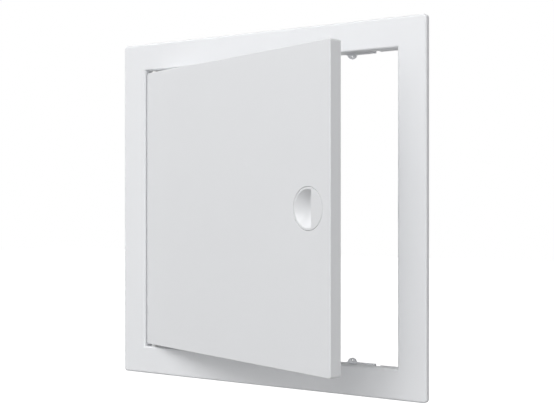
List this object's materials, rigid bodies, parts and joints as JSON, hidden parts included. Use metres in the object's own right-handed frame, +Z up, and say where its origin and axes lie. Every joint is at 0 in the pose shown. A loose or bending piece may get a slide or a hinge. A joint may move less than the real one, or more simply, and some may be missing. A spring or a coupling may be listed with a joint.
{
  "type": "access panel",
  "caption": "Square white plastic access panel: a flush frame with a hinged door standing ajar and a round quarter-turn latch with a half-moon finger scoop",
  "frame": {"origin": "Centre of the opening in the plane of the wall, which the rear rim of the flange lies on", "axes": "X to the right seen from the room, Y into the wall, Z up along the hinge"},
  "size_m": [0.3, 0.0906, 0.3],
  "materials": {
    "frame_plastic": "satin white",
    "door_plastic": "satin white",
    "latch_plastic": "satin white",
    "pin_plastic": "natural white",
    "zinc_steel": "bright zinc"
  },
  "bodies": {
    "frame": {"frame": "frame_plastic"},
    "door": {"door_panel": "door_plastic", "upper_hinge_pin": "pin_plastic", "lower_hinge_pin": "pin_plastic"},
    "latch": {"latch_knob": "latch_plastic", "latch_tongue": "latch_plastic", "latch_washer": "zinc_steel", "latch_screw": "zinc_steel"}
  },
  "joints": [
    {"name": "door_hinge", "type": "hinge", "parent": "frame", "child": "door", "pos_m": [-0.11825, 0.00025, 0], "axis": [0, 0, -1], "range_deg": [-19, 86]},
    {"name": "latch_turn", "type": "hinge", "parent": "door", "child": "latch", "pos_m": [0.08498, -0.07528, 0], "axis": [0.3256, 0.9455, 0], "range_deg": [0, 90]}
  ]
}
